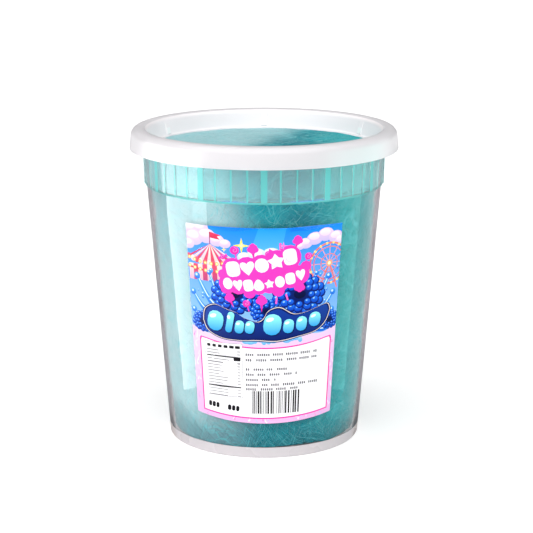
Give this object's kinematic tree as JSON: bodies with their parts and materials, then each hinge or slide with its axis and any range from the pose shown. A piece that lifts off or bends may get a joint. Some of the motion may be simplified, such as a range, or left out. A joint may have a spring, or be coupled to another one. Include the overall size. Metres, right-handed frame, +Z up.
{
  "type": "tub of cotton candy",
  "caption": "Clear round plastic tub with a press-on lid, packed full of blue spun-sugar cotton candy, with a printed label wrapped on its front.",
  "frame": {"origin": "middle of the foot ring, on the surface that the tub stands on", "axes": "+Z up, along the tub's axis; -Y towards the front, where the label is; +X to the right of it"},
  "size_m": [0.12, 0.12, 0.141],
  "materials": {
    "clear_plastic": "clear and glossy",
    "milky_plastic": "milky, satin",
    "spun_sugar": "fine spun fibre",
    "printed_label": "glossy printed film"
  },
  "bodies": {
    "root": {"tub": "clear_plastic", "lid": "milky_plastic", "cotton_candy": "spun_sugar", "label": "printed_label"}
  },
  "joints": []
}
